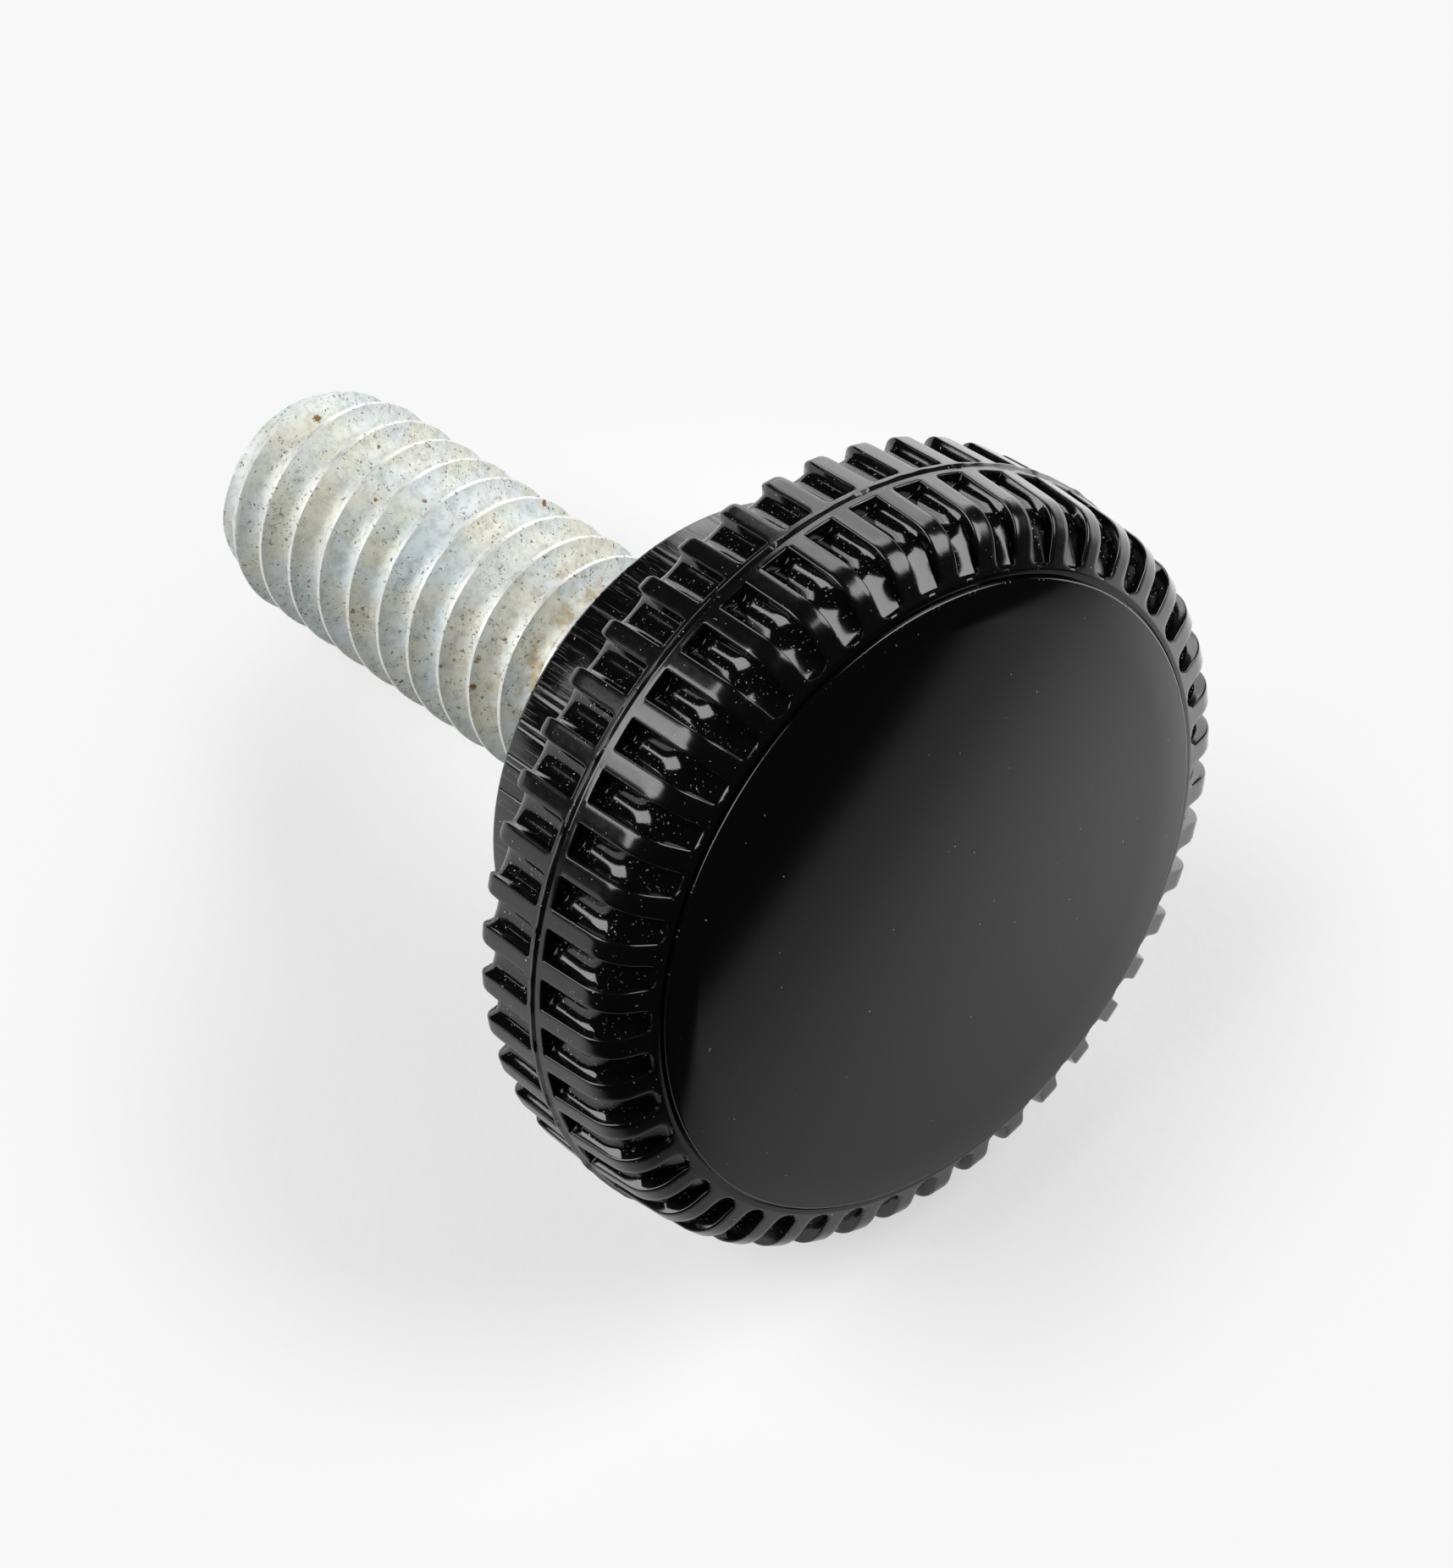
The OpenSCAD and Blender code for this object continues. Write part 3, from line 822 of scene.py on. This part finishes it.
def zinc_material(look, origin, axes):
    """Dull zinc plating with faint colours, crests painted lighter for rubbed plating and a painted
    highlight, dark pits, rust specks and stains.
    """
    material, tree, surface = new_material("Zinc plating")
    specks, patches = shared_groups()
    place = own_place(tree, origin, axes)
    hollow = point_value(tree, "hollow")
    height_at = add_node(tree, "ShaderNodeSeparateXYZ", {0: place}).outputs["Z"]

    cool = use_group(tree, patches, Vector=place, Patches_per_mm=0.35, Level=0.5, Softness=0.16)
    warm = use_group(tree, patches, Vector=place, Patches_per_mm=0.6, Level=0.54, Softness=0.14)
    crowd = use_group(tree, patches, Vector=place, Patches_per_mm=0.8, Level=0.5, Softness=0.12)
    blot = use_group(tree, patches, Vector=place, Patches_per_mm=1.6, Level=0.5, Softness=0.08)
    fine_share = maths(tree, "MULTIPLY_ADD", crowd, 0.45, 0.04)
    hole_share = times(tree, crowd, 0.4)
    fine = use_group(tree, specks, Vector=place, Cells_per_mm=13.0, Share=fine_share, Size=0.5)
    holes = use_group(tree, specks, Vector=place, Cells_per_mm=5.0, Share=hole_share, Size=0.3)
    pits = maths(tree, "MAXIMUM", fine, holes)
    rust = use_group(tree, specks, Vector=place, Cells_per_mm=1.5, Share=0.32, Size=0.2)
    mottle = ramp(tree, noise(tree, place, 3.5, 6.0, 0.75), 0.42, 0.66)
    # Crests painted lighter, unevenly: partly rubbed plating, partly a painted highlight along the crest
    # lines.
    rubbed = ramp(tree, noise(tree, place, 2.5, 5.0, 0.7), 0.38, 0.58, 0.25, 1.0)
    crest = times(tree, ramp(tree, hollow, 0.04, 0.008), rubbed)
    near_boss = ramp(tree, height_at, 13.0, 9.0)
    stain = times(tree, times(tree, ramp(tree, hollow, 0.4, 0.8), near_boss), blot)

    plate = blend(tree, cool, (*look.zinc, 1), (*look.zinc_cool, 1))
    plate = blend(tree, times(tree, warm, 0.8), plate, (*look.zinc_warm, 1))
    plate = blend(tree, times(tree, stain, 0.85), plate, (*look.stain, 1))
    plate = blend(tree, times(tree, mottle, 0.3), plate, (*look.pit, 1))
    plate = blend(tree, crest, plate, (*look.zinc_rubbed_sheen, 1))
    plate = blend(tree, times(tree, pits, 0.8), plate, (*look.pit, 1))
    feed(tree, surface, Base_Color=blend(tree, rust, plate, (*look.rust, 1)))

    bare = maths(tree, "MAXIMUM", times(tree, pits, 0.8), rust)
    feed(tree, surface, Metallic=blend_value(tree, bare, blend_value(tree, crest, 0.22, 0.7), 0.0))
    dull = blend_value(tree, crest, look.zinc_dull, look.zinc_dull * 0.65)
    feed(tree, surface, Roughness=blend_value(tree, bare, dull, 0.9))

    rings = noise(tree, add_node(tree, "ShaderNodeCombineXYZ", {2: height_at}).outputs[0], 12.0)
    tip = ramp(tree, height_at, 20.8, 21.6)
    rough = maths(tree, "MULTIPLY_ADD", rings, tip, noise(tree, place, 7.0, 5.0, 0.7))
    add_bump(tree, surface, 0.5, 0.015, maths(tree, "SUBTRACT", rough, pits))
    return material


def floor_material(stage):
    """White paper: the camera sees it shaded round the knob and evenly white further off.

    What the plastic mirrors of it carries painted shade that darkens it towards its front edge, ends there,
    and is brighter at the right.
    """
    material, tree, surface = new_material("Paper")
    place = add_node(tree, "ShaderNodeTexCoord").outputs["Object"]
    path = add_node(tree, "ShaderNodeLightPath")
    seen = path.outputs["Is Camera Ray"]
    mirrored = path.outputs["Is Glossy Ray"]

    cos, sin = math.cos(stage.paper_edge_a), math.sin(stage.paper_edge_a)
    along = vector_value(tree, "DOT_PRODUCT", place, (cos, sin, 0))
    aside = vector_value(tree, "DOT_PRODUCT", place, (-sin, cos, 0))
    blur, edge, fade = stage.paper_edge_blur, stage.paper_edge, stage.paper_fade
    cut = ramp(tree, along, edge - blur, edge + blur, 1.0, 0.0)
    # Painted shade: only what the plastic mirrors darkens evenly towards the paper's front edge.
    painted_mirror_shade = ramp(tree, along, edge, edge - fade, stage.mirror_shade_share, 1.0, "LINEAR")
    kept = blend_value(tree, mirrored, 1.0, times(tree, cut, painted_mirror_shade))
    glow = ramp(tree, along, edge - fade * 0.2, edge - fade * 1.2, kind="LINEAR")
    glow = times(tree, glow, ramp(tree, aside, stage.glare_near, stage.glare_far, 0.0, stage.glare))

    far = vector_value(tree, "DISTANCE", place, (stage.aim[0], stage.aim[1], 0))
    white = ramp(tree, far, stage.shade_near, stage.shade_far, stage.paper_even, 1.0)
    even = times(tree, seen, white)
    lit = times(tree, kept, maths(tree, "SUBTRACT", 1.0, even))
    feed(tree, surface, Base_Color=blend(tree, lit, (0, 0, 0, 1), (*stage.floor_colour, 1)))
    shine = maths(tree, "MULTIPLY_ADD", even, stage.paper_white, times(tree, mirrored, glow))
    grey = add_node(tree, "ShaderNodeCombineColor", {0: shine, 1: shine, 2: shine}).outputs[0]
    feed(tree, surface, Emission_Color=grey)
    add_bump(tree, surface, 0.3, 0.05, noise(tree, place, 2200.0, 3.0, 0.6))
    surface.inputs["Emission Strength"].default_value = 1.0
    surface.inputs["Roughness"].default_value = 0.9
    surface.inputs["Specular IOR Level"].default_value = 0.1
    return material


def towards(azimuth, elevation):
    """Direction from the knob, given as azimuth from +X towards +Y and height over the horizon."""
    level = math.cos(elevation)
    return Vector((math.cos(azimuth) * level, math.sin(azimuth) * level, math.sin(elevation)))


def aim_matrix(place, target):
    """Matrix of a lamp at a place that looks at a target along its own -Z."""
    return Matrix.Translation(place) @ (place - target).to_track_quat("Z", "Y").to_matrix().to_4x4()


def add_softbox(stage, name, azimuth, elevation, distance, size, radiance):
    """A rectangular area lamp that looks at the knob: its power gives the radiance asked for."""
    width, height = (side * MM for side in size)
    data = bpy.data.lights.new(name, "AREA")
    data.shape = "RECTANGLE"
    data.size = width
    data.size_y = height
    data.energy = math.pi * width * height * getattr(stage, radiance)
    target = Vector(stage.aim)
    place = target + towards(math.radians(azimuth), math.radians(elevation)) * (distance * MM)
    lamp = add_object(name, data)
    lamp.matrix_world = aim_matrix(place, target)


def add_sheet(name, corners, material):
    """A flat sheet with the given corners."""
    mesh = bpy.data.meshes.new(name)
    mesh.from_pydata(corners, [], [(0, 1, 2, 3)])
    mesh.materials.append(material)
    sheet = add_object(name, mesh)


def add_camera(stage):
    """The camera that took the photograph, with its focal length in pixels."""
    data = bpy.data.cameras.new("Camera")
    data.sensor_width = SENSOR
    data.lens = stage.focal_px / max(PHOTO_W, PHOTO_H) * SENSOR
    data.clip_start = 10 * MM
    data.clip_end = 20.0
    a = stage.camera_azimuth
    e = stage.camera_elevation
    forward = Vector((-math.sin(a) * math.cos(e), math.cos(a) * math.cos(e), -math.sin(e)))
    right = forward.cross(Vector((0, 0, 1))).normalized()
    up = right.cross(forward)
    cos, sin = math.cos(stage.camera_roll), math.sin(stage.camera_roll)
    right, up = right * cos + up * sin, up * cos - right * sin
    turn = Matrix((right, up, -forward)).transposed().to_4x4()
    camera = add_object("Camera", data)
    camera.matrix_world = Matrix.Translation(Vector(stage.aim) - forward * stage.camera_distance) @ turn
    bpy.context.scene.camera = camera


def set_room(stage):
    """An even dim room, which shows white where the camera looks past the table."""
    world = bpy.data.worlds.new("Room")
    bpy.context.scene.world = world
    world.use_nodes = True
    tree = world.node_tree
    tree.nodes.clear()
    path = add_node(tree, "ShaderNodeLightPath")
    level = blend_value(tree, path.outputs["Is Camera Ray"], stage.room, 1.0)
    sky = add_node(tree, "ShaderNodeBackground", {"Color": (1, 1, 1, 1), "Strength": level})
    out = add_node(tree, "ShaderNodeOutputWorld")
    tree.links.new(sky.outputs[0], out.inputs["Surface"])


class KNOB_OT_add_head(bpy.types.Operator):
    """Build the moulded head with its two rows of grooves"""

    bl_idname = "knob.add_head"
    bl_label = "Add knob head"
    bl_options = {"REGISTER", "UNDO"}

    def execute(self, context):
        scene = context.scene
        origin, axes = knob_frame(scene.knob_head, scene.knob_stud)
        points, faces, values = head_surface(scene.knob_head, scene.knob_stud)
        points = origin + points @ axes
        material = plastic_material(scene.knob_look, origin, axes)
        piece = add_piece("knob_head_visual", points, faces, "knob_head", material)
        for name, value in values.items():
            add_attribute(piece, name, value)
        return {"FINISHED"}


class KNOB_OT_add_stud(bpy.types.Operator):
    """Build the threaded stud"""

    bl_idname = "knob.add_stud"
    bl_label = "Add threaded stud"
    bl_options = {"REGISTER", "UNDO"}

    def execute(self, context):
        scene = context.scene
        origin, axes = knob_frame(scene.knob_head, scene.knob_stud)
        points, faces, hollow = weld(*stud_surface(scene.knob_head, scene.knob_stud))
        points = origin + points @ axes
        material = zinc_material(scene.knob_look, origin, axes)
        piece = add_piece("threaded_stud_visual", points, faces, "threaded_stud", material)
        add_attribute(piece, "hollow", hollow)
        return {"FINISHED"}


class KNOB_OT_add_stage(bpy.types.Operator):
    """Set up the table, the lamps and the camera"""

    bl_idname = "knob.add_stage"
    bl_label = "Add table, lamps and camera"
    bl_options = {"REGISTER", "UNDO"}

    def execute(self, context):
        stage = context.scene.knob_stage
        context.scene.view_settings.view_transform = "Standard"
        set_room(stage)
        half = stage.floor_size / 2
        corners = [(-half, -half, 0), (half, -half, 0), (half, half, 0), (-half, half, 0)]
        add_sheet("Paper", corners, floor_material(stage))
        for lamp in LAMPS:
            add_softbox(stage, *lamp)
        add_camera(stage)
        return {"FINISHED"}


class KNOB_PT_panel(bpy.types.Panel):
    """Sidebar panel with the knob's sizes, its looks and its stage"""

    bl_idname = "KNOB_PT_panel"
    bl_label = "Clamping knob"
    bl_space_type = "VIEW_3D"
    bl_region_type = "UI"
    bl_category = "Knob"

    def draw(self, context):
        for name in ("knob_head", "knob_stud", "knob_look", "knob_stage"):
            box = self.layout.box()
            settings = getattr(context.scene, name)
            for key in settings.__annotations__:
                box.prop(settings, key)
        for operator in ("knob.add_head", "knob.add_stud", "knob.add_stage"):
            self.layout.operator(operator)


CLASSES = (KnobHeadSizes, KnobStudSizes, KnobLookSettings, KnobStageSettings,
           KNOB_OT_add_head, KNOB_OT_add_stud, KNOB_OT_add_stage, KNOB_PT_panel)


def register():
    """Registers the classes and puts their settings on the scene."""
    for cls in CLASSES:
        bpy.utils.register_class(cls)
    bpy.types.Scene.knob_head = bpy.props.PointerProperty(type=KnobHeadSizes)
    bpy.types.Scene.knob_stud = bpy.props.PointerProperty(type=KnobStudSizes)
    bpy.types.Scene.knob_look = bpy.props.PointerProperty(type=KnobLookSettings)
    bpy.types.Scene.knob_stage = bpy.props.PointerProperty(type=KnobStageSettings)


def unregister():
    """Takes everything that register added away again."""
    del bpy.types.Scene.knob_stage
    del bpy.types.Scene.knob_look
    del bpy.types.Scene.knob_stud
    del bpy.types.Scene.knob_head
    for cls in reversed(CLASSES):
        bpy.utils.unregister_class(cls)


def main():
    """Builds the pieces and the stage."""
    register()
    bpy.ops.knob.add_head()
    bpy.ops.knob.add_stud()
    bpy.ops.knob.add_stage()


if __name__ == "__main__":
    main()
